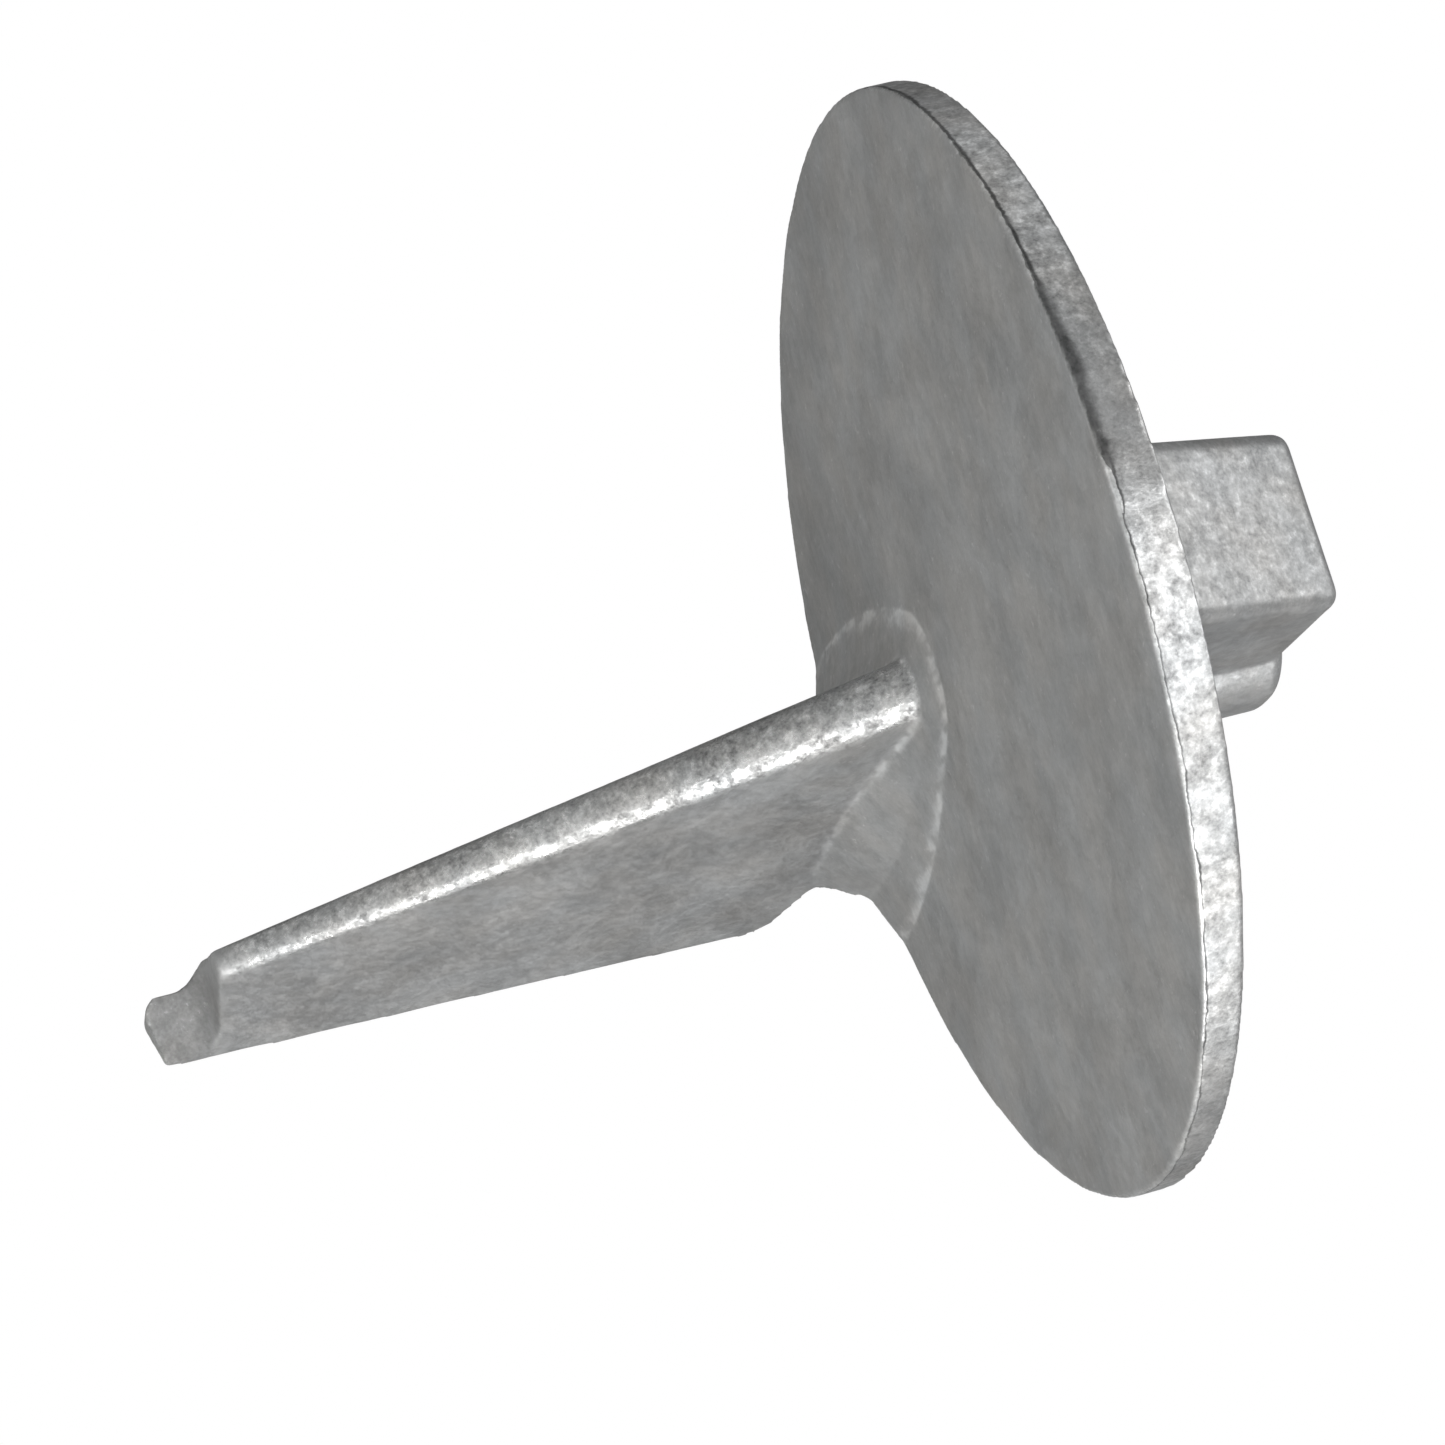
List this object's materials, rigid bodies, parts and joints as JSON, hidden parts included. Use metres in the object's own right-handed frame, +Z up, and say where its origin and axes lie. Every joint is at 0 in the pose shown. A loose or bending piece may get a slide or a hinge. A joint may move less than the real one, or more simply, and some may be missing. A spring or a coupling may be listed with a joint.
{
  "type": "trim tab anode",
  "caption": "Round sacrificial anode plate with a swept trim fin below it and a keyed boss above, cast around a blind threaded insert.",
  "frame": {"origin": "on the bolt axis, in the plane of the plate's upper face", "axes": "+Z up through the boss and out of the bolt hole, +X aft, along the boss's key, +Y starboard"},
  "size_m": [0.1124, 0.1, 0.0993],
  "materials": {
    "cast_metal": "as cast, matt grey",
    "insert_steel": "plain steel"
  },
  "bodies": {
    "root": {"anode_casting": "cast_metal", "threaded_insert": "insert_steel"}
  },
  "joints": []
}
